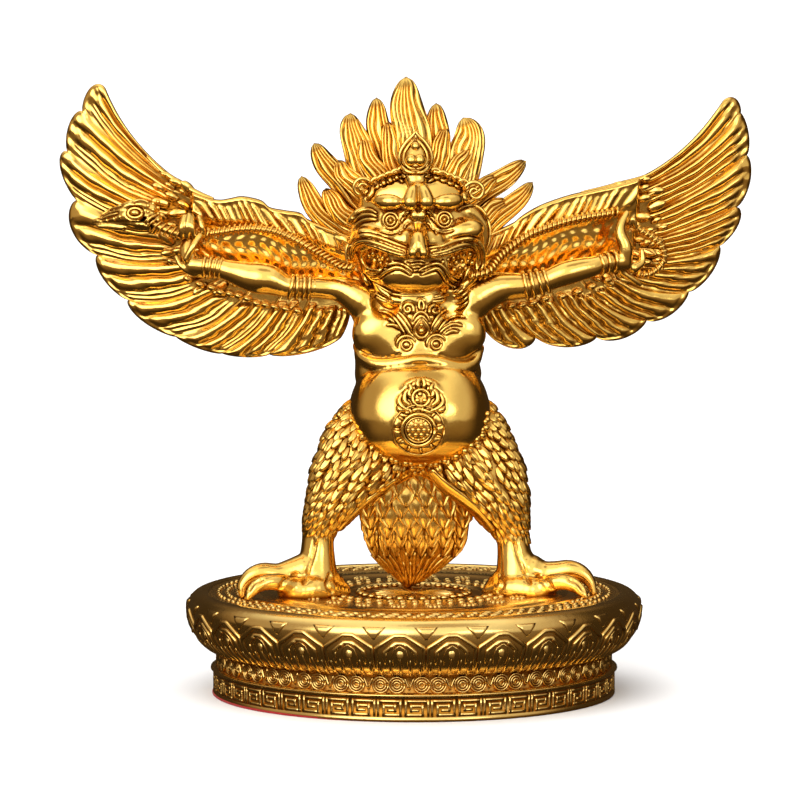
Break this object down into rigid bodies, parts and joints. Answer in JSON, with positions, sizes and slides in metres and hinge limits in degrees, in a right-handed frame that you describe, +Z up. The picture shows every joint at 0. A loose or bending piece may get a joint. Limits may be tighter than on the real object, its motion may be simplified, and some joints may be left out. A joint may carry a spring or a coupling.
{
  "type": "garuda figure",
  "caption": "Small gilt garuda with spread wings and a flaming mane, gripping a snake in both hands, standing on a round lotus plinth with a flocked pad below.",
  "frame": {"origin": "middle of the plinth's circle, on the pad's underside, where the part stands", "axes": "+Z up, the figure faces -Y, +X to the viewer's right"},
  "size_m": [0.0909, 0.0602, 0.0813],
  "materials": {
    "gilt_figure": "polished bright gold plating, darker in the recesses",
    "gilt_plinth": "polished gold plating over fine low relief",
    "red_flock": "short matt flock"
  },
  "bodies": {
    "root": {"figure": "gilt_figure", "plinth": "gilt_plinth", "base_pad": "red_flock"}
  },
  "joints": []
}
